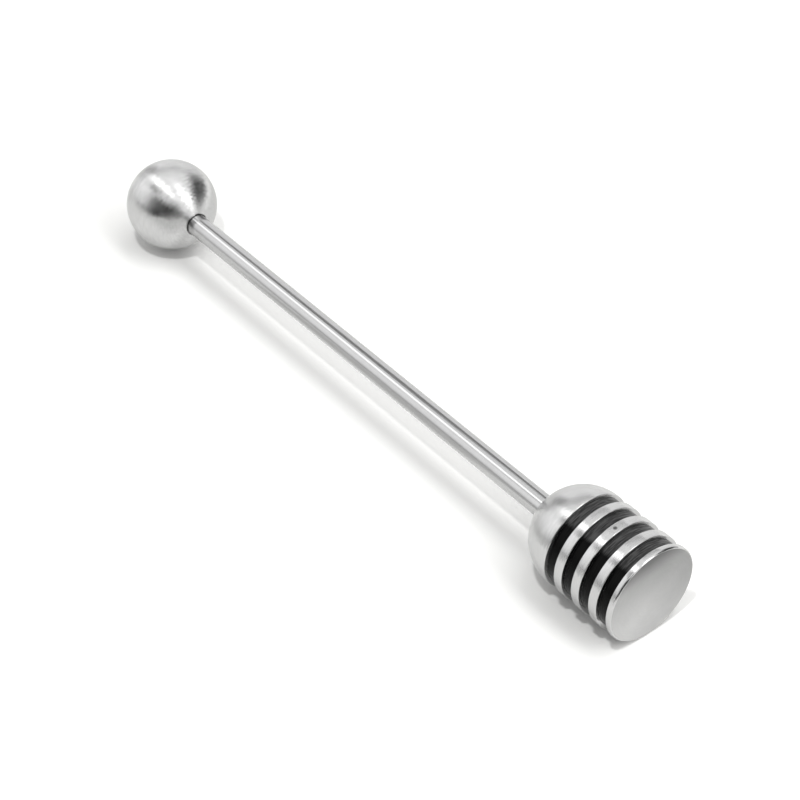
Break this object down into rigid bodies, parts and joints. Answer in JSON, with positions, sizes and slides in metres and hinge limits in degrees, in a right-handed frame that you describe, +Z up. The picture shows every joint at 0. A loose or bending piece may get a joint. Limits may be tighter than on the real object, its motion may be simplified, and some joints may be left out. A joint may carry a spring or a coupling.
{
  "type": "honey dipper",
  "caption": "Steel honey dipper: ball knob, straight round rod, and a head stacked from steel discs and black rings behind a rounded dome.",
  "frame": {"origin": "on the ground under the middle of the length, with the dipper lying on its side", "axes": "+X along the axis from the ball knob to the flat end of the head, +Z up, +Y to the left of +X"},
  "size_m": [0.164, 0.0206, 0.0207],
  "materials": {
    "satin_steel": "satin stainless steel, turned and lightly brushed round the axis",
    "polished_steel": "polished stainless steel",
    "black_ring": "satin black, with fine turning marks"
  },
  "bodies": {
    "root": {"ball_knob": "satin_steel", "handle_rod": "polished_steel", "dome_cap": "satin_steel", "spacer_ring_1": "black_ring", "fin_disc_1": "satin_steel", "spacer_ring_2": "black_ring", "fin_disc_2": "satin_steel", "spacer_ring_3": "black_ring", "fin_disc_3": "satin_steel", "spacer_ring_4": "black_ring", "end_disc": "satin_steel"}
  },
  "joints": []
}
